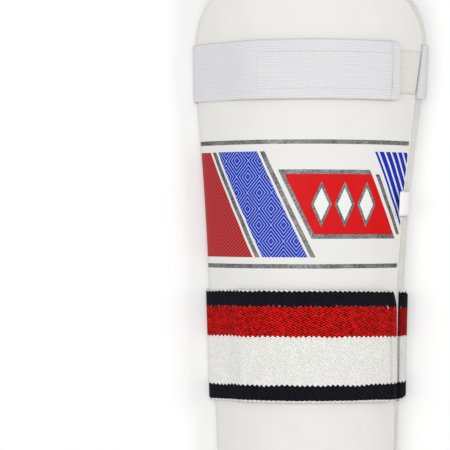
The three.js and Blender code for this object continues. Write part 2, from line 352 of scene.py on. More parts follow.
def fill(flat_ring, spacing):
    """Even triangles inside a flat ring. Returns the new flat points and faces, ring points first."""
    ring = [Vector(p) for p in flat_ring.tolist()]
    lo, hi = flat_ring.min(0), flat_ring.max(0)
    clear = CLEAR_SHARE * spacing
    inside = []
    nxt = np.roll(flat_ring, -1, 0)
    for k, y in enumerate(np.arange(lo[1] + spacing / 2, hi[1], spacing * ROW_SHARE)):
        cross = (flat_ring[:, 1] > y) != (nxt[:, 1] > y)
        a, b = flat_ring[cross], nxt[cross]
        xs = np.sort(a[:, 0] + (y - a[:, 1]) / (b[:, 1] - a[:, 1]) * (b[:, 0] - a[:, 0]))
        if len(xs) < 2:
            continue
        x = np.arange(math.ceil(xs[0] / spacing) * spacing, xs[-1], spacing)
        x = x + (k % 2) * spacing / 2
        x = x[(x > xs[0] + clear) & (x < xs[-1] - clear)]
        inside += [(v, y) for v in x]
    tree = kdtree.KDTree(len(ring))
    for index, p in enumerate(ring):
        tree.insert((p.x, p.y, 0), index)
    tree.balance()
    inside = [p for p in inside if tree.find((*p, 0))[2] > clear]
    verts = ring + [Vector(p) for p in inside]
    found = geometry.delaunay_2d_cdt(verts, [], [list(range(len(ring)))], 1, 1e-6)
    came = [ids[0] if ids else -1 for ids in found[3]]
    faces = []
    for face in found[2]:
        a, b, c = (found[0][i] for i in face[:3])
        turned = (b - a).cross(c - a) < 0
        ids = [came[i] for i in face]
        faces.append(ids[::-1] if turned else ids)
    return np.array(inside).reshape(-1, 2), faces


def pad_body(step, rings, upper_fill, lower_fill):
    """A closed pad from rings of (inset, height) for each pattern point. The first ring bounds
    the upper face and the last the lower one. Returns its points, their flat places and its faces."""
    loop, out = full_pattern(step)
    count = len(loop)
    profile = rings(seam_travel(loop, out))
    verts, flats = [], []
    for inset, height in profile:
        p, flat = place(loop, out, inset, height)
        verts.append(p)
        flats.append(flat)
    faces = rounds(len(profile), count)
    total = count * len(profile)
    for ring, spacing, up in ((0, upper_fill, True), (len(profile) - 1, lower_fill, False)):
        inside, made = fill(flats[ring], spacing)
        verts.append(on_arch(section(inside[:, 1]), inside[:, 0], profile[ring][1][0]))
        flats.append(inside)
        start = total
        total += len(inside)
        for ids in made:
            ids = [ring * count + i if i < count else start + i - count for i in ids]
            faces.append(tuple(ids if up else ids[::-1]))
    return np.concatenate(verts), np.concatenate(flats), faces


def seam_groove(travel):
    """Inset and height of the seam's deep line at that travel."""
    inset, height = edge_profile(travel)
    away, up = edge_out(travel)
    return inset + SEAM_GROOVE * away, height - SEAM_GROOVE * up


TAPER_SHARES = (0.2, 0.5, 1.0)


def shell_rings(step):
    def rings(seam):
        deep = seam_groove(seam)
        start = np.maximum(QUARTER + 1.0, seam + 3.0)
        count = max(3, round((QUARTER + 6) / step))
        rows = [edge_profile(mix(start, seam, share)) for share in np.linspace(0, 1, count)[:-1]]
        rows.append(deep)
        for share in TAPER_SHARES:
            rows.append((deep[0] + SEAM_TAPER * share, mix(deep[1], -SHELL, smooth(share))))
        return rows
    return rings


def lining_rings(step):
    def rings(seam):
        inset, height = seam_groove(seam - SEAM_GAP)
        deep = (inset, height - GAP)
        rows = []
        for share in TAPER_SHARES[::-1]:
            rows.append((deep[0] + SEAM_TAPER * share, mix(deep[1], -SHELL - GAP, smooth(share))))
        rows.append(deep)
        end = np.minimum(-QUARTER - 1.0, seam - 4.0)
        count = max(4, round((2 * QUARTER + 3) / step))
        rows += [edge_profile(mix(seam - SEAM_GAP, end, share)) for share in np.linspace(0, 1, count)]
        rows[-1] = (rows[-1][0], np.full_like(seam, -PAD))
        return rows
    return rings


# The cloth runs for this many frames from a start that is uneven by this many metres.
FRAMES, UNEVEN = 20, 0.00004
# A finer point follows this many settled ones. One this far away counts for half of one at its place.
NEAREST, HALF_AT = 14, 3.0


def settle(name, step, rings, fills, held, cap, swell, seed):
    """Runs the padding as cloth over foam. Returns its points and how far each one moved."""
    verts, _, faces = pad_body(step, rings(step), *fills)
    obj = make(name, verts, faces, None)
    group = obj.vertex_groups.new(name="held")
    weight = held(verts)
    levels = np.round(weight, 2)
    for level in np.unique(levels):
        if level > 0:
            group.add(np.nonzero(levels == level)[0].tolist(), float(level), "REPLACE")
    cloth = obj.modifiers.new("Cloth", "CLOTH")
    s = cloth.settings
    s.quality = 6
    s.mass = 0.4
    s.tension_stiffness = 25
    s.compression_stiffness = 25
    s.shear_stiffness = 12
    s.bending_stiffness = 1.5
    s.use_pressure = True
    s.uniform_pressure_force = 4
    s.shrink_min = -swell
    s.effector_weights.gravity = 0
    s.vertex_group_mass = "held"
    s.pin_stiffness = 1
    cloth.collision_settings.use_collision = False
    rng = np.random.default_rng(seed)
    start = np.empty(len(verts) * 3)
    obj.data.vertices.foreach_get("co", start)
    nudge = rng.normal(0, UNEVEN, start.shape) * np.repeat(1 - weight, 3)
    obj.data.vertices.foreach_set("co", start + nudge)
    scene = bpy.context.scene
    for number in range(1, FRAMES + 1):
        scene.frame_set(number)
    done = obj.evaluated_get(bpy.context.evaluated_depsgraph_get()).to_mesh()
    moved = np.empty(len(verts) * 3)
    done.vertices.foreach_get("co", moved)
    scene.frame_set(1)
    bpy.data.objects.remove(obj)
    move = (moved - start).reshape(-1, 3) / MM
    size = np.linalg.norm(move, axis=1)
    move *= (np.minimum(size, cap) / np.maximum(size, 1e-9))[:, None]
    return verts, move


def follow(verts, places, move):
    """Each point takes the mean of the nearest settled points' moves."""
    tree = kdtree.KDTree(len(places))
    for index, p in enumerate(places.tolist()):
        tree.insert(p, index)
    tree.balance()
    out = np.zeros_like(verts)
    for index, p in enumerate(verts.tolist()):
        near = tree.find_n(p, NEAREST)
        w = np.array([1 / (d * d + HALF_AT ** 2) for _, _, d in near])
        out[index] = (move[[i for _, i, _ in near]] * w[:, None]).sum(0) / w.sum()
    return out


def strap_cover(y, margin=2.0):
    """1 under a strap, 0 away from both."""
    cover = np.zeros(len(y))
    for strap in (UPPER, LOWER):
        middle = strap.top - strap.width / 2
        cover = np.maximum(cover, smooth((strap.width / 2 + margin - np.abs(y - middle)) / margin))
    return cover


# Materials

class Look:
    """A node material in the making. Values are numbers or sockets; colours are (r, g, b), 0 to 255."""

    def __init__(self, name):
        self.material = bpy.data.materials.new(name)
        self.material.use_nodes = True
        self.tree = self.material.node_tree
        self.tree.nodes.clear()
        self.shader = self.node("ShaderNodeBsdfPrincipled")
        self.node("ShaderNodeOutputMaterial", {"Surface": self.shader.outputs[0]})

    def node(self, kind, values=(), **settings):
        """A new node. values go to its inputs, by name or by number."""
        node = self.tree.nodes.new(kind)
        for key, value in settings.items():
            setattr(node, key, value)
        self.put(node, values)
        return node

    def put(self, node, values):
        for key, value in dict(values).items():
            if isinstance(value, bpy.types.NodeSocket):
                self.tree.links.new(value, node.inputs[key])
            elif value is not None:
                node.inputs[key].default_value = value

    def math(self, operation, *values):
        return self.node("ShaderNodeMath", enumerate(values), operation=operation).outputs[0]

    def add(self, a, b):
        return self.math("ADD", a, b)

    def sub(self, a, b):
        return self.math("SUBTRACT", a, b)

    def mul(self, a, b):
        return self.math("MULTIPLY", a, b)

    def scaled(self, a, share, b):
        """a times share, plus b."""
        return self.math("MULTIPLY_ADD", a, share, b)

    def over(self, value, limit):
        return self.math("GREATER_THAN", value, limit)

    def under(self, value, limit):
        return self.math("LESS_THAN", value, limit)

    def between(self, value, low, high):
        return self.mul(self.over(value, low), self.under(value, high))

    def either(self, *masks):
        whole = masks[0]
        for mask in masks[1:]:
            whole = self.math("MAXIMUM", whole, mask)
        return whole

    def span(self, value, low, high, to_low=0.0, to_high=1.0):
        values = {"Value": value, "From Min": low, "From Max": high, "To Min": to_low, "To Max": to_high}
        return self.node("ShaderNodeMapRange", values).outputs["Result"]

    def space(self):
        """Places on the object, in millimetres."""
        here = self.node("ShaderNodeTexCoord").outputs["Object"]
        return self.node("ShaderNodeVectorMath", {0: here, "Scale": 1 / MM}, operation="SCALE").outputs[0]

    def flat(self):
        """Places on the cloth, in millimetres: u and v."""
        here = self.node("ShaderNodeUVMap", uv_map="cloth").outputs[0]
        parts = self.node("ShaderNodeSeparateXYZ", {0: here})
        return parts.outputs[0], parts.outputs[1]

    def join(self, x, y):
        return self.node("ShaderNodeCombineXYZ", {0: x, 1: y}).outputs[0]

    def noise(self, vector, size, detail=2.0, rough=0.5, distort=0.0):
        values = {"Scale": 1 / size, "Detail": detail, "Roughness": rough, "Distortion": distort}
        return self.node("ShaderNodeTexNoise", {"Vector": vector, **values}).outputs[0]

    def cells(self, vector, size, random=1.0):
        """The distance from the middle of each cell, and each one's own number from 0 to 1."""
        values = {"Vector": vector, "Scale": 1 / size, "Randomness": random}
        node = self.node("ShaderNodeTexVoronoi", values, feature="F1")
        parts = self.node("ShaderNodeSeparateColor", {0: node.outputs["Color"]})
        return node.outputs["Distance"], parts.outputs[0]

    def wave(self, value, pitch=1.0):
        """0 to 1 and back over each pitch of value, 1 at whole pitches."""
        return self.scaled(self.math("COSINE", self.mul(value, 2 * math.pi / pitch)), 0.5, 0.5)

    def arcs(self, value, pitch):
        """Round humps, 0 at whole pitches and 1 between them."""
        return self.math("ABSOLUTE", self.math("SINE", self.mul(value, math.pi / pitch)))

    def zigzag(self, value, half):
        """0 to half and back over each two halves of value."""
        return self.math("PINGPONG", value, half)

    def mixed(self, a, b, share, blend="MIX"):
        a, b = (c if isinstance(c, bpy.types.NodeSocket) else ink(*c) for c in (a, b))
        node = self.node("ShaderNodeMix", data_type="RGBA", blend_type=blend)
        self.put(node, {"Factor": share, 6: a, 7: b})
        return node.outputs[2]

    def shaded(self, colour, amount):
        """colour times a number that varies over the surface."""
        grey = self.node("ShaderNodeCombineColor", {0: amount, 1: amount, 2: amount})
        return self.mixed(colour, grey.outputs[0], 1.0, "MULTIPLY")

    def bump(self, height, depth, strength=1.0, normal=None):
        """height is 0 to 1, depth how many millimetres that is."""
        values = {"Strength": strength, "Distance": depth * MM, "Height": height, "Normal": normal}
        return self.node("ShaderNodeBump", values).outputs[0]

    def done(self, colour, roughness, normal=None, **others):
        self.put(self.shader, {"Base Color": colour, "Roughness": roughness, "Normal": normal})
        self.put(self.shader, {key.replace("_", " "): value for key, value in others.items()})
        return self.material


def ink(r, g, b):
    """A screen colour, 0 to 255, as the linear one that a shader takes."""
    def one(c):
        c /= 255
        return c / 12.92 if c <= 0.04045 else ((c + 0.055) / 1.055) ** 2.4
    return (one(r), one(g), one(b), 1.0)


# The print: heights are along the guard, and slants are across it where the slanted lines meet TURN_AT.
SLANT, TURN_AT = 0.5, 12.0
RULES = ((47.6, 50.2), (-25.6, -23.0))
FIELD = (-19.0, 43.4)
SILVER_SLANTS = ((-47.6, -44.8), (-14.6, -11.6))
BLUE_SLANTS, RED_SLANTS = (-43.2, -16.2), (-90.0, -49.2)
PANEL_HEIGHTS, PANEL_SLANTS, PANEL_BORDER = (-5.5, 30.0), (-6.0, 47.0), 2.6
BESIDE_PANEL = (49.5, 52.3)
SIDE_SLANTS, SIDE_HALF, SIDE_STRIPE = (55.4, 90.0), 2.4, 1.7
NEST_WIDTH, NEST_HEIGHT, NEST_HALF, NEST_LINE = 15.0, 19.0, 0.125, 0.028
HATCH_SLOPE, HATCH_HALF, HATCH_LINE = 0.9, 1.15, 0.36
GEM_ROW, GEM_HEIGHT, GEM_HALF, GEM_WIDE, GEM_TALL, GEM_FACE = (0.0, 42.0), 12.2, 7.0, 6.2, 13.4, 0.72
DEEP_BLUE, PALE_BLUE, PRINT_WHITE = (8, 42, 168), (172, 186, 222), (226, 226, 224)


def printed(k, space, u, v, colour):
    """Two rules, slanted bars and a row of lozenges over colour, with the masks of ink and silver."""
    lean = k.scaled(k.sub(v, TURN_AT), SLANT, u)
    low, top = PANEL_HEIGHTS
    left, right = PANEL_SLANTS
    border = PANEL_BORDER
    field = k.between(v, *FIELD)
    panel_field = k.between(v, low, top)
    grey = k.either(
        *[k.between(v, *rule) for rule in RULES],
        *[k.mul(field, k.between(lean, *bar)) for bar in SILVER_SLANTS],
        k.mul(panel_field, k.between(lean, *BESIDE_PANEL)),
        k.mul(k.between(lean, left - border, right), k.between(v, top, top + border)),
        k.mul(k.between(lean, left - border, right), k.between(v, low - border, low)),
        k.mul(k.between(v, low - border, top + border), k.between(lean, left - border, left)),
    )
    red_panel = k.mul(panel_field, k.between(lean, left, right))
    blue_bar = k.mul(field, k.between(lean, *BLUE_SLANTS))
    red_side = k.mul(field, k.between(lean, *RED_SLANTS))
    stripe = k.under(k.zigzag(k.sub(lean, SIDE_SLANTS[0]), SIDE_HALF), SIDE_STRIPE)
    blue_side = k.mul(k.mul(field, k.between(lean, *SIDE_SLANTS)), stripe)

    # Fine lines in the bars: nested lozenges in one, straight hatching in the other.
    nest_x = k.math("DIVIDE", k.zigzag(u, NEST_WIDTH / 2), NEST_WIDTH / 2)
    nest_y = k.math("DIVIDE", k.zigzag(v, NEST_HEIGHT / 2), NEST_HEIGHT / 2)
    lines = k.under(k.zigzag(k.add(nest_x, nest_y), NEST_HALF), NEST_LINE)
    hatch = k.under(k.zigzag(k.sub(v, k.mul(u, HATCH_SLOPE)), HATCH_HALF), HATCH_LINE)

    gem_x = k.math("DIVIDE", k.sub(GEM_HALF, k.zigzag(u, GEM_HALF)), GEM_WIDE)
    gem_y = k.math("DIVIDE", k.math("ABSOLUTE", k.sub(v, GEM_HEIGHT)), GEM_TALL)
    gem = k.add(gem_x, gem_y)
    row = k.between(u, *GEM_ROW)
    gem_rim, gem_face = k.mul(row, k.under(gem, 1.0)), k.mul(row, k.under(gem, GEM_FACE))

    speck = k.noise(space, 1.0, 3, 0.75)
    cloud = k.noise(space, 9.0, 2)
    sparkle = k.span(k.add(k.mul(speck, 0.75), k.mul(cloud, 0.25)), 0.35, 0.65)
    silver = k.mixed((46, 48, 49), (150, 153, 152), sparkle)
    for over, mask in (
        (k.mixed((196, 4, 10), (206, 10, 14), cloud), red_panel),
        (silver, gem_rim),
        (PRINT_WHITE, gem_face),
        (k.mixed(DEEP_BLUE, PALE_BLUE, lines), blue_bar),
        (DEEP_BLUE, blue_side),
        (k.mixed((184, 8, 18), (122, 84, 86), hatch), red_side),
        (silver, grey),
    ):
        colour = k.mixed(colour, over, mask)
    inked = k.either(red_panel, blue_bar, blue_side, red_side, grey)
    return colour, inked, k.either(grey, k.sub(gem_rim, gem_face))


def shell_look():
    k = Look("coated_cloth")
    space = k.space()
    u, v = k.flat()
    colour = k.shaded((222, 221, 218), k.span(k.noise(space, 60, 3), 0.3, 0.7, 0.985, 1.0))
    smudge = k.noise(space, 14, 4, 0.6)
    colour = k.mixed(colour, (211, 208, 201), k.span(smudge, 0.58, 0.85, 0.0, 0.3))
    colour, inked, silver = printed(k, space, u, v, colour)
    grain, _ = k.cells(space, 0.75)
    height = k.add(k.mul(grain, 0.6), k.mul(k.noise(space, 0.35, 3), 0.4))
    rough = k.span(k.noise(space, 5, 3), 0.3, 0.7, 0.52, 0.62)
    rough = k.scaled(inked, -0.06, rough)
    normal = k.bump(inked, 0.03, 0.35, k.bump(height, 0.05, 0.5))
    return k.done(colour, rough, normal, Metallic=k.mul(silver, 0.35), Specular_IOR_Level=0.12)


def edge_look():
    k = Look("turned_edge")
    space = k.space()
    fine = k.noise(space, 0.6, 3)
    colour = k.shaded((230, 227, 222), k.span(k.noise(space, 6, 3), 0.3, 0.7, 0.94, 1.0))
    return k.done(colour, k.span(fine, 0.3, 0.7, 0.45, 0.6), k.bump(fine, 0.08, 0.6))


def towel_look():
    k = Look("towelling")
    space = k.space()
    loops, _ = k.cells(space, 0.95)
    curl = k.noise(space, 0.6, 3, 0.6, 0.4)
    height = k.add(k.mul(k.sub(1.0, loops), 0.6), k.mul(curl, 0.5))
    worn = k.noise(space, 22, 4, 0.6)
    colour = k.mixed((220, 218, 213), (209, 205, 198), k.span(worn, 0.35, 0.7))
    # Painted shade and light: darker where the loops and curls lie low, a little lighter on their tops.
    colour = k.shaded(colour, k.span(height, 0.2, 0.75, 0.86, 1.03))
    fleck = k.under(k.noise(space, 0.75, 1), 0.3)
    colour = k.mixed(colour, (176, 166, 154), k.mul(fleck, 0.7))
    creases = k.noise(space, 9, 3, 0.55, 1.2)
    normal = k.bump(height, 0.5, 0.7, k.bump(creases, 0.9, 0.35))
    return k.done(colour, 0.95, normal, Sheen_Weight=0.25, Sheen_Roughness=0.6, Specular_IOR_Level=0.2)


# Pitch of the ribs along the narrow elastic and of the picks across them. On a strap u is 0 at the free
# end and negative towards the root, and v is 0 at the elbow side.
RIB, PICK = 1.157, 1.0
UPPER_ROOT, UPPER_TURN, UPPER_FLAT = -292, -284, -265


def rib_look():
    k = Look("ribbed_elastic")
    u, v = k.flat()
    wander = k.noise(k.join(k.mul(u, 0.05), k.mul(v, 0.5)), 1.0, 2)
    across = k.scaled(wander, 0.5, v)
    rib = k.arcs(across, RIB)
    row = k.math("FLOOR", k.math("DIVIDE", across, RIB))
    pick = k.wave(k.scaled(row, PICK / 2, u), PICK)
    thread = k.noise(k.join(u, k.mul(v, 3.0)), 0.8, 2)
    height = k.add(k.mul(rib, 0.7), k.mul(k.mul(pick, rib), 0.3))
    # Painted shade in the grooves between the ribs.
    colour = k.shaded((223, 222, 224), k.span(rib, 0.0, 0.9, 0.86, 1.0))
    colour = k.shaded(colour, k.span(thread, 0.3, 0.7, 0.965, 1.02))
    colour = k.shaded(colour, k.span(k.noise(k.space(), 25, 3), 0.3, 0.7, 0.975, 1.0))
    fleck = k.over(k.noise(k.join(u, k.mul(v, 1.4)), 1.3, 1), 0.76)
    colour = k.mixed(colour, (206, 200, 196), k.mul(fleck, 0.5))

    # Painted shade: a dark line in the fold's seam, a darker band where it turns down round the rim at the
    # root, and a painted shadow line along its elbow side.
    elbow, wrist = UPPER.fold.back
    from_seam = k.scaled(v, (wrist - elbow) / UPPER.width, u)
    colour = k.mixed(colour, (186, 182, 180), k.mul(k.between(from_seam, -elbow - 0.3, -elbow + 0.3), 0.5))
    root_shade = k.span(u, UPPER_ROOT, UPPER_TURN, 1.03, 0.9)
    colour = k.shaded(colour, k.mul(root_shade, k.span(u, UPPER_TURN, UPPER_FLAT, 1.0, 1.1)))
    colour = k.shaded(colour, k.span(v, 0.1, 0.8, 0.72, 1.0))
    return k.done(colour, 0.82, k.bump(height, 0.32, 0.7), Sheen_Weight=0.15, Specular_IOR_Level=0.3)


# The knit's yarn: its pitch along and across the strap, and one grain's length, width and slant. The
# stripes follow from the elbow side, each from its own place on.
TOOTH, COURSE = 2.87, 1.46
GRAIN_LONG, GRAIN_WIDE, GRAIN_SLANT = 1.5, 0.84, math.radians(38)
NAVY_FROM, RED_FROM, WHITE_FROM, SECOND_NAVY_FROM, SELVEDGE_FROM = 0.6, 10.3, 26.7, 55.7, 64.1
LOWER_ROOT, LOWER_TURN = -249, -243


def knit_height(k, uu, vv, curl):
    """Slanted stitches of yarn in offset rows, some of them uneven."""
    along_strap, down = k.mul(uu, 1 / TOOTH), k.mul(vv, 1 / COURSE)
    leaning, crossing = k.wave(k.sub(along_strap, down)), k.wave(k.add(along_strap, down))
    rows = k.add(k.mul(leaning, 0.6), k.mul(crossing, 0.4))
    cos, sin = math.cos(GRAIN_SLANT), math.sin(GRAIN_SLANT)
    long = k.add(k.mul(uu, cos / GRAIN_LONG), k.mul(vv, sin / GRAIN_LONG))
    wide = k.add(k.mul(uu, -sin / GRAIN_WIDE), k.mul(vv, cos / GRAIN_WIDE))
    grain, tone = k.cells(k.join(long, wide), 1.0, 0.6)
    height = k.add(k.mul(rows, 0.55), k.mul(k.sub(1.0, grain), 0.5))
    height = k.scaled(k.sub(tone, 0.5), 0.18, height)
    return k.scaled(k.sub(curl, 0.5), 0.3, height)


def knit_look():
    k = Look("striped_knit")
    u, v = k.flat()
    sway = k.sub(k.noise(k.join(k.mul(u, 0.3), k.mul(v, 0.3)), 1.0, 2), 0.5)
    uu, vv = k.scaled(sway, 0.7, u), k.scaled(sway, -0.5, v)
    curl = k.noise(k.join(uu, vv), 0.55, 2, 0.6)
    height = knit_height(k, uu, vv, curl)
    # Colour follows the knit's height: partly each grain's own tone, partly painted shade, darker in the
    # hollows between stitches and lighter on their tops.
    shade_by_height = k.span(height, 0.28, 0.82)
    # Painted shade on the root, where the strap turns down round the right rim.
    root_shade = k.span(u, LOWER_ROOT, LOWER_TURN)
    navy = k.mixed((3, 4, 7), (24, 26, 33), shade_by_height)
    red = k.mixed((46, 0, 0), (238, 21, 17), k.span(height, 0.33, 0.77))
    red = k.shaded(red, k.span(root_shade, 0, 1, 0.62, 1.0))
    white = k.mixed((210, 209, 204), (241, 241, 237), shade_by_height)
    # The white gets painted light, a little lighter up to the left part of the front, and painted shade on
    # the root.
    white = k.shaded(white, k.mul(k.span(root_shade, 0, 1, 0.89, 1.0), k.span(u, -120, -80, 1.05, 1.0)))
    selvedge = k.mixed((190, 188, 182), (238, 237, 232), shade_by_height)

    # At each change of colour the yarn ends in round teeth, one for each stitch.
    wobble = k.sub(k.noise(k.join(k.mul(u, 0.06), k.mul(v, 0.04)), 1.0, 1), 0.5)
    tooth = k.wave(k.scaled(sway, 1.6, u), TOOTH)
    jag = k.mul(k.scaled(k.sub(curl, 0.5), 0.5, tooth), 0.95)
    level = k.scaled(wobble, 1.6, v)
    rising, hanging = k.add(level, jag), k.sub(level, jag)
    swayed = k.scaled(wobble, 0.5, v)
    colour = k.mixed(selvedge, navy, k.over(k.scaled(jag, -0.8, swayed), NAVY_FROM))
    colour = k.mixed(colour, red, k.over(rising, RED_FROM))
    fleck = k.mul(k.between(rising, RED_FROM - 0.4, RED_FROM), k.over(k.noise(k.join(u, v), 1.1, 1), 0.62))
    colour = k.mixed(colour, (190, 168, 166), k.mul(fleck, 0.6))
    colour = k.mixed(colour, white, k.over(hanging, WHITE_FROM))
    # Painted shade in small pits at the teeth just inside the white stripe's edge.
    pit = k.mul(k.between(hanging, WHITE_FROM + 0.5, WHITE_FROM + 1.2), k.over(tooth, 0.72))
    colour = k.mixed(colour, (150, 140, 136), k.mul(pit, 0.35))
    towards_end = k.span(u, -25, -3)
    colour = k.mixed(colour, navy, k.over(k.add(rising, towards_end), SECOND_NAVY_FROM))
    last = k.scaled(jag, -0.35, k.scaled(curl, 0.6, swayed))
    colour = k.mixed(colour, selvedge, k.over(last, SELVEDGE_FROM))
    # Painted shade in the fold's seam near the free end.
    seam = k.between(u, -LOWER.fold.back[0] - 0.7, -LOWER.fold.back[0] + 0.5)
    colour = k.shaded(colour, k.scaled(seam, -0.16, 1.0))
    return k.done(colour, 0.9, k.bump(height, 0.6, 0.85), Specular_IOR_Level=0.12)


def tape_look(name, base, dark, size, depth):
    k = Look(name)
    space = k.space()
    tuft = k.noise(space, size, 3, 0.6, 0.5)
    # Darker where the tufts lie low: painted shade in the tape's hollows.
    colour = k.mixed(dark, base, k.span(tuft, 0.35, 0.62))
    colour = k.shaded(colour, k.span(k.noise(space, 9, 3), 0.3, 0.7, 0.96, 1.0))
    return k.done(colour, 0.95, k.bump(tuft, depth, 0.6), Sheen_Weight=0.2, Specular_IOR_Level=0.2)


def label_look(weave_pitch=0.42):
    k = Look("woven_tape")
    u, v = k.flat()
    weave = k.add(k.mul(k.wave(u, weave_pitch), 0.5), k.mul(k.wave(v, weave_pitch), 0.5))
    # Painted shade in the weave's dips.
    colour = k.shaded((238, 235, 233), k.span(weave, 0, 1, 0.965, 1.0))
    return k.done(colour, 0.7, k.bump(weave, 0.05, 0.6), Specular_IOR_Level=0.35)


def thread_look(name, base, dark):
    k = Look(name)
    twist = k.noise(k.space(), 0.3, 2)
    # Darker in the twist's grooves: painted shade.
    return k.done(k.mixed(dark, base, k.span(twist, 0.35, 0.65)), 0.7, k.bump(twist, 0.08, 0.6))


def floor_look():
    k = Look("floor")
    tone = k.noise(k.space(), 90, 3)
    colour = k.shaded((241, 241, 241), k.span(tone, 0.3, 0.7, 0.995, 1.0))
    return k.done(colour, 0.9, Specular_IOR_Level=0.1)


LOOKS = SimpleNamespace(
    shell=shell_look(),
    edge=edge_look(),
    towel=towel_look(),
    rib=rib_look(),
    knit=knit_look(),
    loop=tape_look("loop_tape", (220, 218, 210), (213, 209, 200), size=1.1, depth=0.12),
    hook=tape_look("hook_tape", (228, 225, 217), (176, 171, 160), size=0.9, depth=0.35),
    label=label_look(),
    thread=thread_look("cream_thread", (241, 238, 230), (214, 208, 196)),
    tan_thread=thread_look("tan_thread", (232, 227, 216), (192, 184, 170)),
    white_thread=thread_look("white_thread", (248, 247, 244), (214, 212, 206)),
    floor=floor_look(),
)


# Padding: settled as cloth, then worn by the finer mesh

def on_section(verts):
    """How far round its arch each point lies, 0 at the crown and 1 at the rim, and its height."""
    s = section(verts[:, 1])
    x, z = verts[:, 0] - s.x, verts[:, 2] - s.z
    return np.abs(np.arctan2(x, z)) / s.slope, np.hypot(x, z) - s.radius


def shell_held(verts):
    """Stitched down at the seam, on the foam below, and pressed by the straps above."""
    round_share, height = on_section(verts)
    edge = smooth((round_share - 0.8) / 0.2)
    ends = smooth((np.abs(verts[:, 1]) - 135) / 12)
    return np.where(height < -0.5, 1.0, np.maximum.reduce([strap_cover(verts[:, 1]), edge, ends]))


def lining_held(verts):
    """Stitched down at the edge, and on the foam above."""
    round_share, height = on_section(verts)
    edge = smooth((round_share - 0.85) / 0.15)
    ends = smooth((np.abs(verts[:, 1]) - 138) / 10)
    return np.where(height > -SHELL - 1.5, 1.0, np.maximum(edge, ends))


SIM_STEP = 4.0


def pad(name, rings, step, fills, sim_fills, held, cap, swell, seed, look, node):
    verts, flats, faces = pad_body(step, rings(step), *fills)
    places, move = settle(name + "_sim", SIM_STEP, rings, sim_fills, held, cap, swell, seed)
    verts = verts + follow(verts, places, move)
    obj = make(name, verts, faces, look, flats)
    finished(obj, name, node)


pad("shell", shell_rings, step=1.5, fills=(1.8, 9.0), sim_fills=(4.0, 9.0), held=shell_held,
    cap=0.6, swell=0.004, seed=3, look=LOOKS.shell, node="shell_pad")
pad("lining", lining_rings, step=1.4, fills=(9.0, 2.0), sim_fills=(9.0, 4.0), held=lining_held,
    cap=0.9, swell=0.012, seed=5, look=LOOKS.towel, node="lining_pad")


# Seam: the turned edge of the coated cloth, and the stitches on it

RIDGE_BACK, RIDGE_WIDTH, RIDGE_RISE, RIDGE_SUNK = 0.55, 1.7, 0.42, 0.25
STITCHES_BACK = 0.75


def seam_line(step, back, rise):
    """Points along the seam, that far back from it on the shell's side and above its face."""
    loop, out = full_pattern(step)
    travel = seam_travel(loop, out) + back
    inset, height = edge_profile(travel)
    away, up = edge_out(travel)
    base, _ = place(loop, out, inset, height)
    top, _ = place(loop, out, inset - away, height + up)
    normal = top - base
    normal /= np.linalg.norm(normal, axis=1)[:, None]
    return base + normal * rise, normal


def turned_edge():
    """A low round ridge all along the seam."""
    rows = []
    for share in np.linspace(0, 1, 7):
        rise = RIDGE_RISE * math.sin(math.pi * share) ** 0.6 - RIDGE_SUNK
        rows.append(seam_line(1.6, RIDGE_BACK + RIDGE_WIDTH * (share - 0.5), rise)[0])
    faces = rounds(len(rows), len(rows[0]), looped=True)
    finished(make("shell_edge", np.concatenate(rows), faces, LOOKS.edge), "shell")


# A stitch's rings along it: how far out each lies and its radius, as shares of the thread's thickness.
STITCH_OUT = np.array([-0.45, 0.0, 0.12, 0.12, 0.0, -0.45])
STITCH_RADIUS = np.array([0.35, 0.85, 1.0, 1.0, 0.85, 0.35]) / 2
STITCH_SIDES = 6


def stitches(name, runs, length, gap, thick, look, slot, wobble=0.0, seed=1):
    """Dashes of thread along runs, each (points, normals, closed), sunk at both of their ends."""
    rng = np.random.default_rng(seed)
    rings = len(STITCH_OUT)
    verts, faces = [], []
    for path, normals, closed in runs:
        if closed:
            path, normals = (np.concatenate([line, line[:1]]) for line in (path, normals))
        run = np.concatenate([[0], np.cumsum(np.linalg.norm(np.diff(path, axis=0), axis=1))])
        count = max(1, int(run[-1] // (length + gap)))
        pitch = run[-1] / count
        for k in range(count):
            start = k * pitch + gap / 2 + rng.uniform(-1, 1) * wobble
            shift = rng.uniform(-1, 1) * wobble
            at = np.linspace(start, start + pitch - gap, rings)
            centre, up = (np.stack([np.interp(at, run, line[:, c]) for c in range(3)], -1)
                          for line in (path, normals))
            centre = centre + up * (STITCH_OUT * thick)[:, None]
            tangent = np.gradient(centre, axis=0)
            side = np.cross(tangent / np.linalg.norm(tangent, axis=1)[:, None], up)
            side /= np.linalg.norm(side, axis=1)[:, None]
            centre = centre + side * shift
            first = len(verts)
            for i in range(rings):
                for j in range(STITCH_SIDES):
                    angle = 2 * math.pi * j / STITCH_SIDES
                    away = side[i] * math.cos(angle) + up[i] * math.sin(angle)
                    verts.append(centre[i] + STITCH_RADIUS[i] * thick * away)
            last = len(verts) - STITCH_SIDES
            faces += rounds(rings, STITCH_SIDES, first)
            faces.append(tuple(range(first, first + STITCH_SIDES))[::-1])
            faces.append(tuple(range(last, last + STITCH_SIDES)))
    finished(make(name, verts, faces, look), slot)


turned_edge()
stitches("seam_stitches", [(*seam_line(1.0, STITCHES_BACK, RIDGE_RISE), True)], length=2.7, gap=1.0,
         thick=0.55, look=LOOKS.thread, slot="shell", wobble=0.06)


# Straps

STRAP_STEP = 1.4
# The root's length before the right rim, its share of the turn to the outermost line, and the sine of
# the turn at which the rim starts. It starts inside the rim by ROOT_IN at least, and sunk by ROOT_SUNK.
ROOT_RUN, ROOT_SHARE, RIM_SINE, ROOT_IN, ROOT_SUNK = 3.4, 0.53, 0.743, 0.4, 0.9
# Shares of that turn from which the elbow side and the wrist side come in.
NARROW_FROM = (0.55, 0.2)
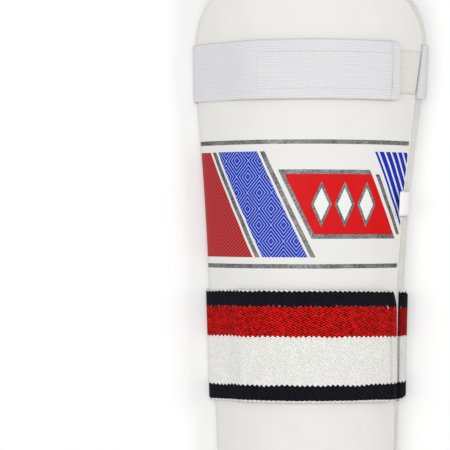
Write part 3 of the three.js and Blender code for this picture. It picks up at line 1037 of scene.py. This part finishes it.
# The run at which each of these starts to fade, and over what length: the root's pull, the narrowing.
PULL_FADES, NARROW_FADES = (8, 25), (14, 30)
# Turns round the rims, in radians: where a strap stands off the right one, and over how long it bows.
OFF_FROM, OFF_OVER, OFF_TO, BOW_OVER = 0.84, 0.5, 2.0, 2.2
# The free end comes down this far before it, over this length. Under it lies the fold, UNDER_THICK times
# the strap's own thickness. On top its rise starts a little after the fold's seam.
DIP_BACK, DIP_OVER = 5.2, 3.6
UNDER_BACK, UNDER_OVER, UNDER_THICK = 5.0, 2.0, 0.8
FOLD_LATE = 0.2
# Rows of stitches that sink the narrow elastic, from where to where before its free end.
SEWN_ROWS, SEWN_FROM, SEWN_TO, SEWN_DEPTH, SEWN_WIDE = (8.1, 27.4), 5.9, 82, 0.16, 0.5
# The far side of the hook patch's box on the wide elastic: its place before the free end, depth, width.
HELD = (86.0, 0.3, 1.0)
# How far each side's edge wavers, and how many times in a millimetre.
WAVER, WAVER_RATE = 0.18, 0.11


def strap_rows(strap):
    """Rows along the strap from the seam to its free end: (part, place in it, run from the root)."""
    s = strap_section(strap, strap.top - strap.width / 2)
    reach = RIM + GAP + strap.thick / 2
    slope, rim_x, radius = float(s.slope), float(s.rim_x), float(s.radius)
    parts = [
        ("root", 1.0, 0.0, ROOT_RUN),
        ("right", slope, math.pi, (math.pi - slope) * reach),
        ("flat", 1.0, -1.0, 2 * rim_x),
        ("left", math.pi, 2 * math.pi - slope, (math.pi - slope) * reach),
        ("front", 0.0, 1.0, radius * slope + strap.end),
    ]
    rows, run = [], 0.0
    for name, start, stop, length in parts:
        count = max(2, round(length / STRAP_STEP))
        shares = np.arange(count) / count if name != "front" else np.linspace(0, 1, count + 1)
        rows += [(name, start + (stop - start) * share, run + length * share) for share in shares]
        run += length
    return rows, run


def strap_height(strap, across):
    raised = 2 * (PATCH + GAP) * smooth((across - strap.hook.start + strap.ramp) / strap.ramp)
    return GAP + raised - strap.dip * smooth((across - strap.end + DIP_BACK) / DIP_OVER)


def strap_point(strap, part, at, y, over, cut):
    """A point of the strap, over millimetres above its inner face. cut shortens the free end."""
    s = strap_section(strap, y)
    reach = RIM + GAP + over
    share = (strap.top - y) / strap.width
    if part == "root":
        seam = RIGHT_SEAM * curve(3, along(y))
        back = strap.root_back - strap.root_slant * share ** 2
        start = np.maximum(edge_profile(seam - back)[0] - RIM, ROOT_IN)
        return on_arch(s, s.radius * s.slope - start * at, GAP + over - ROOT_SUNK * at * at)
    if part == "right":
        stands = smooth((at - OFF_FROM) / OFF_OVER) * (1 - smooth(at - OFF_TO))
        return round_rim(s, 1, np.maximum(at, s.slope), reach + mix(*strap.off, share) * stands)
    if part == "flat":
        return points(s.x + s.rim_x * at, y, strap.thick - over)
    if part == "left":
        return round_rim(s, -1, np.minimum(at, 2 * math.pi - s.slope), reach)
    across = mix(-s.radius * s.slope, strap.end - cut, at)
    return on_arch(s, across, strap_height(strap, across) + over)


def turn_share(part, at, run):
    """How far the strap has turned on its way from the root to the outermost line, 0 to 1."""
    if part == "root":
        return ROOT_SHARE * run / ROOT_RUN
    if part == "right" and at < math.pi / 2:
        return mix(ROOT_SHARE, 1.0, (math.sin(at) - RIM_SINE) / (1 - RIM_SINE))
    return 1.0


def quarter(share):
    """A quarter round: 0 at 0, steepest and 1 at 1."""
    share = np.clip(share, 0, 1)
    return 1 - np.sqrt(1 - share * share)


def faded(run, start, length):
    return 1 - smooth((run - start) / length)


def along_guard(strap, part, at, run, v, share):
    """Where a row's points lie along the guard, with the pulls at its root and its bow over the front."""
    turned, fading = turn_share(part, at, run), faded(run, *NARROW_FADES)
    elbow_bent, wrist_bent = (fading * quarter((turned - start) / (1 - start)) for start in NARROW_FROM)
    pull = faded(run, *PULL_FADES)
    y = strap.top - v
    y = y - (1 - share) ** strap.soft * strap.narrow[0] * elbow_bent
    y = y + share ** strap.soft * strap.narrow[1] * wrist_bent
    y = y + pull * (share ** 3 * strap.root_pull[1] - (1 - share) ** 3 * strap.root_pull[0])
    if part in ("left", "front"):
        begun = smooth((at - math.pi) / BOW_OVER) if part == "left" else 1.0
        from_middle = abs(2 * at - 1) if part == "front" else 1.0
        elbow_bow, wrist_bow, end_bow = strap.bow
        y = y - begun * (mix(elbow_bow, wrist_bow, share) + end_bow * from_middle ** 3)
    return y


def end_cut(strap, v):
    """How far the free end is cut back, with its two round corners."""
    (elbow_cut, elbow_wide), (wrist_cut, wrist_wide) = strap.corners
    elbow = elbow_cut * quarter(1 - v / elbow_wide)
    wrist = wrist_cut * quarter(1 - (strap.width - v) / wrist_wide)
    return elbow + wrist + mix(*strap.lean, v / strap.width)


def groove(left, back, depth, wide):
    return -depth * np.exp(-((left - back) / wide) ** 2)


def fold_relief(strap, left, v):
    """The outer face's rise where the free end is folded under, left millimetres before its end."""
    back = mix(*strap.fold.back, v / strap.width)
    rise, rise_over = strap.fold.rise
    drop, drop_over = strap.fold.drop
    raised = rise * smooth((back - FOLD_LATE - left) / rise_over)
    dropped = drop * smooth((drop_over - left) / drop_over)
    return groove(left, back, *strap.fold.groove) + raised - dropped


def upper_relief(left, v):
    """The fold, and the two long rows of stitches of the box."""
    depth = SEWN_DEPTH if SEWN_FROM < left < SEWN_TO else 0.0
    return fold_relief(UPPER, left, v) + sum(groove(v, row, depth, SEWN_WIDE) for row in SEWN_ROWS)


def lower_relief(left, v):
    return fold_relief(LOWER, left, v) + groove(left, *HELD)


def strap_widths(strap, columns):
    """Places over the width, closer at the edges, and how round the section is there, 0 at an edge to 1."""
    v = strap.width * np.linspace(0, 1, columns + 1)
    edge = 0.5 * strap.thick
    corner = edge * (1 - np.cos(np.linspace(0, math.pi / 2, 4)))
    inner = v[(v > edge * 1.2) & (v < strap.width - edge * 1.2)]
    v = np.concatenate([corner, inner, strap.width - corner[::-1]])
    depth = np.clip(np.minimum(v, strap.width - v) / edge, 0, 1)
    return v, np.sqrt(np.clip(1 - (1 - depth) ** 2, 0, 1))


def strap_mesh(name, strap, columns, relief, look, slot, node):
    """The strap as a closed sheet with rounded edges. relief raises or sinks its outer face."""
    rows, whole = strap_rows(strap)
    v, bulge = strap_widths(strap, columns)
    count, half = len(v), strap.thick / 2
    cut = end_cut(strap, v)
    verts, uv = [], []
    for part, at, run in rows:
        waver = [WAVER * noise.noise((run * WAVER_RATE, side * 7.3, strap.width)) for side in (0, 1)]
        edge_v = v + np.where(v < strap.width / 2, *waver)
        share = np.clip(edge_v / strap.width, 0, 1)
        y = along_guard(strap, part, at, run, edge_v, share)
        folded = UNDER_THICK * strap.thick * smooth((run - whole + UNDER_BACK) / UNDER_OVER)
        over = half + (half + relief(whole - run, v)) * bulge
        under = half - (half + folded) * bulge
        drawn = v + faded(run, *PULL_FADES) * np.interp(share, DRAWN_AT, strap.drawn)
        for height, order in ((over, 1), (under, -1)):
            verts.append(strap_point(strap, part, at, y, height, cut)[::order])
            uv.append(np.stack([np.full(count, run - whole), drawn[::order]], -1))
    around = 2 * count
    faces = rounds(len(rows), around)
    # Both ends close with strips between the two faces.
    last = (len(rows) - 1) * around
    for i in range(count - 1):
        strip = (i, around - 1 - i, around - 2 - i, i + 1)
        faces.append(strip[::-1])
        faces.append(tuple(last + p for p in strip))
    obj = make(name, np.concatenate(verts), faces, look, np.concatenate(uv))
    finished(obj, slot, node)


strap_mesh("upper_elastic", UPPER, 24, upper_relief, LOOKS.rib, "white_elastic", "upper_strap")
strap_mesh("lower_elastic", LOWER, 44, lower_relief, LOOKS.knit, "striped_elastic", "lower_strap")


# Hook and loop patches

HOOK_LOW = PATCH + 2 * GAP
PATCH_STEP = 2.5
# The upper loop patch ends this far back from the seam. A patch is soft this far from its edges.
LOOP_BACK, PATCH_SOFT = 1.6, 1.4


def seam_across(y, back):
    """How far across the right seam lies, less a distance back from it on the shell's side."""
    travel = RIGHT_SEAM * curve(3, along(y)) + back
    return edge_across(y) - edge_profile(travel)[0]


def patch_mesh(name, strap, patch, low, look, node, on_strap=False, to_seam=False):
    """A patch with soft edges, low millimetres above the front, or under a strap."""
    half, length = patch.width / 2, patch.stop - patch.start
    rims = np.array([0.5, 1.0])
    v = np.sort(np.concatenate([np.linspace(-half, half, 13), rims - half, half - rims]))
    across = np.linspace(patch.start, patch.stop, max(2, round(length / PATCH_STEP)) + 1)
    across = np.sort(np.concatenate([across, patch.start + rims, patch.stop - rims]))
    y = strap.top - strap.width / 2 - v
    s = strap_section(strap, y) if on_strap else section(y)
    reach = (seam_across(y, LOOP_BACK) - patch.start) / length if to_seam else np.ones(len(v))
    # How far the upper and the lower face rise at the very edge.
    upper, lower = (-0.3, 0.15) if on_strap else (-0.95, -0.25)
    verts = []
    for height, rise in ((low + PATCH, upper), (low, lower)):
        for a in across:
            inward = np.minimum(half - np.abs(v), min(a - patch.start, patch.stop - a))
            soft = smooth(1 - inward / PATCH_SOFT)
            verts.append(on_arch(s, patch.start + (a - patch.start) * reach, height + rise * soft))
    uv = np.stack([np.repeat(across, len(v)), np.tile(v, len(across))], -1)
    faces = sheet_faces(len(across), len(v))
    obj = make(name, np.concatenate(verts), faces, look, np.concatenate([uv, uv]))
    finished(obj, "hook_and_loop", node)


patch_mesh("upper_loop", UPPER, UPPER_LOOP, GAP, LOOKS.loop, "upper_loop_patch", to_seam=True)
patch_mesh("upper_hook", UPPER, UPPER_HOOK, HOOK_LOW, LOOKS.hook, "upper_hook_patch", on_strap=True)
patch_mesh("lower_loop", LOWER, LOWER_LOOP, GAP, LOOKS.loop, "lower_loop_patch")
patch_mesh("lower_hook", LOWER, LOWER_HOOK, HOOK_LOW, LOOKS.hook, "lower_hook_patch", on_strap=True)


# Stitches on the straps and patches

def front_run(strap, corners, over, step=1.0, on_strap=True):
    """A run of stitches over the front through (across, y) corners."""
    path = resample(np.array(corners, float), step)
    across, y = path[:, 0], path[:, 1]
    s = strap_section(strap, y) if on_strap else section(y)
    low = strap_height(strap, across) + strap.thick if on_strap else GAP + PATCH
    base = on_arch(s, across, low + over)
    return base, on_arch(s, across, low + over + 1) - base, False


def from_picture(strap, column, row, over=0.0):
    """Where a pixel of the picture meets the strap's outer face: its place across and along the guard."""
    y = (MIDDLE_PIXEL - row) * ROW
    s = strap_section(strap, y)
    low, high = -80.0, 80.0
    for _ in range(40):
        middle = (low + high) / 2
        x, _, z = on_arch(s, middle, strap_height(strap, middle) + strap.thick + over)
        seen = MIDDLE_PIXEL + (x - CAMERA_X) * FOCAL / (PIXEL * (CAMERA_Z - z))
        low, high = (middle, high) if seen < column else (low, middle)
    return float(middle), y


def box_runs(strap, box):
    """The four sides of a stitched box, from the elbow side on."""
    left, right, top, low = box
    corners = [from_picture(strap, *at) for at in ((left, top), (right, top), (right, low), (left, low))]
    return [front_run(strap, pair, 0.05) for pair in zip(corners, corners[1:] + corners[:1])]


# Loose threads lie this far under the wide strap's outer face, and this far under a loop patch's.
LOOSE_OVER, LOOSE_LOW = -3, -2.2


def loose_run(column, row, right, down):
    """A loose thread just off the low edge of the wide strap, from a pixel that far right and down."""
    ends = [from_picture(LOWER, *at, LOOSE_OVER) for at in ((column, row), (column + right, row + down))]
    return front_run(LOWER, ends, LOOSE_LOW, step=0.5, on_strap=False)


def patch_runs(strap, patch):
    """The two long rows of stitches on a loop patch."""
    middle = strap.top - strap.width / 2
    return [front_run(strap, ((patch.start + 2, y), (patch.stop - 1, y)), 0.0, on_strap=False)
            for y in (middle + patch.seam, middle - patch.seam)]


tack = front_run(LOWER, [from_picture(LOWER, *at) for at in TACK], 0.1)
loose = [loose_run(*thread) for thread in LOOSE_THREADS]
loops = patch_runs(UPPER, UPPER_LOOP) + patch_runs(LOWER, LOWER_LOOP)
stitches("upper_stitches", box_runs(UPPER, UPPER_BOX), length=1.1, gap=1.0, thick=0.62,
         look=LOOKS.tan_thread, slot="white_elastic", wobble=0.1, seed=2)
stitches("lower_tacks", [tack], length=1.2, gap=0.6, thick=0.34,
         look=LOOKS.white_thread, slot="striped_elastic", wobble=0.05, seed=8)
stitches("lower_frays", loose, length=2.6, gap=0.2, thick=0.26,
         look=LOOKS.white_thread, slot="striped_elastic", wobble=0.1, seed=9)
stitches("lower_stitches", box_runs(LOWER, LOWER_BOX)[2:3], length=1.3, gap=2.0, thick=0.34,
         look=LOOKS.white_thread, slot="striped_elastic", wobble=0.12, seed=4)
stitches("loop_stitches", loops, length=2.0, gap=1.9, thick=0.6,
         look=LOOKS.white_thread, slot="hook_and_loop", wobble=0.1, seed=6)


# Label: a folded tape round the rim, its fold standing off the front

LABEL_MIDDLE, LABEL_WIDTH, LABEL_LENGTH, LABEL_HALF_THICK = 12.7, 14.5, 13.0, 0.3
LABEL_STEPS, LABEL_COLUMNS = 16, 9
# Turns from the arch's slope at the rim: where it starts, its way out there and its way at the fold.
LABEL_FROM, LABEL_OUT, LABEL_IN = 0.08, 0.75, -0.4
# How much longer its elbow side is than its middle, and how much thinner the tape is at its fold.
LABEL_LONGER, LABEL_THINNER = 0.055, 0.8


def label_mesh():
    from_middle = np.linspace(1, -1, LABEL_COLUMNS)
    s = section(LABEL_MIDDLE + from_middle * LABEL_WIDTH / 2)
    step = LABEL_LENGTH / LABEL_STEPS
    path, ways = [round_rim(s, 1, s.slope + LABEL_FROM, RIM + GAP)], [s.slope + LABEL_OUT]
    for k in range(LABEL_STEPS):
        way = s.slope + mix(LABEL_OUT, LABEL_IN, smooth(k / (LABEL_STEPS - 1)))
        forward = points(-np.cos(way), 0 * way, np.sin(way))
        path.append(path[-1] + forward * (step * (1 + LABEL_LONGER * from_middle))[:, None])
        ways.append(way)
    verts, uv = [], []
    for face in (LABEL_HALF_THICK, -LABEL_HALF_THICK):
        for k, (base, way) in enumerate(zip(path, ways)):
            thin = 1 - LABEL_THINNER * smooth(k - LABEL_STEPS + 1)
            normal = points(np.sin(way), 0 * way, np.cos(way))
            verts.append(base + normal * (LABEL_HALF_THICK + face * thin))
            uv.append(np.stack([np.full(LABEL_COLUMNS, k * step), LABEL_WIDTH * (1 - from_middle) / 2], -1))
    faces = [face[:1] + face[:0:-1] for face in sheet_faces(LABEL_STEPS + 1, LABEL_COLUMNS)]
    obj = make("label", np.concatenate(verts), faces, LOOKS.label, np.concatenate(uv))
    finished(obj, "label", "side_label")


label_mesh()


# Floor, light and camera

FLOOR_HALF = 2500
SENSOR = 36
corners = [(x * FLOOR_HALF, y * FLOOR_HALF, 0) for x, y in ((-1, -1), (1, -1), (1, 1), (-1, 1))]
make("floor", corners, [(0, 1, 2, 3)], LOOKS.floor)

scene = bpy.context.scene
scene.view_settings.view_transform = "Standard"
world = bpy.data.worlds.new("studio")
scene.world = world
world.use_nodes = True
background = world.node_tree.nodes["Background"]
background.inputs["Color"].default_value = (1, 1, 1, 1)
background.inputs["Strength"].default_value = 0.5


def lamp(name, place, size, watts):
    """A square lamp that shines on the middle of the floor. Its place and size are metres."""
    data = bpy.data.lights.new(name, "AREA")
    data.size = size
    data.energy = watts
    obj = bpy.data.objects.new(name, data)
    obj.location = place
    obj.rotation_euler = (-Vector(place)).to_track_quat("-Z", "Y").to_euler()
    scene.collection.objects.link(obj)


lamp("top", (-0.06, 0.1, 1.7), size=0.7, watts=10.0)
lamp("left", (-0.85, 0.05, 1.35), size=0.8, watts=6.3)
lamp("right", (1.1, 0.15, 1.05), size=0.4, watts=4.7)

camera = bpy.data.cameras.new("camera")
camera.lens = SENSOR * FOCAL / (2 * MIDDLE_PIXEL * PIXEL)
camera.clip_start = 0.01
camera.clip_end = 20
eye = bpy.data.objects.new("camera", camera)
eye.location = (CAMERA_X * MM, 0, CAMERA_Z * MM)
scene.collection.objects.link(eye)
scene.camera = eye
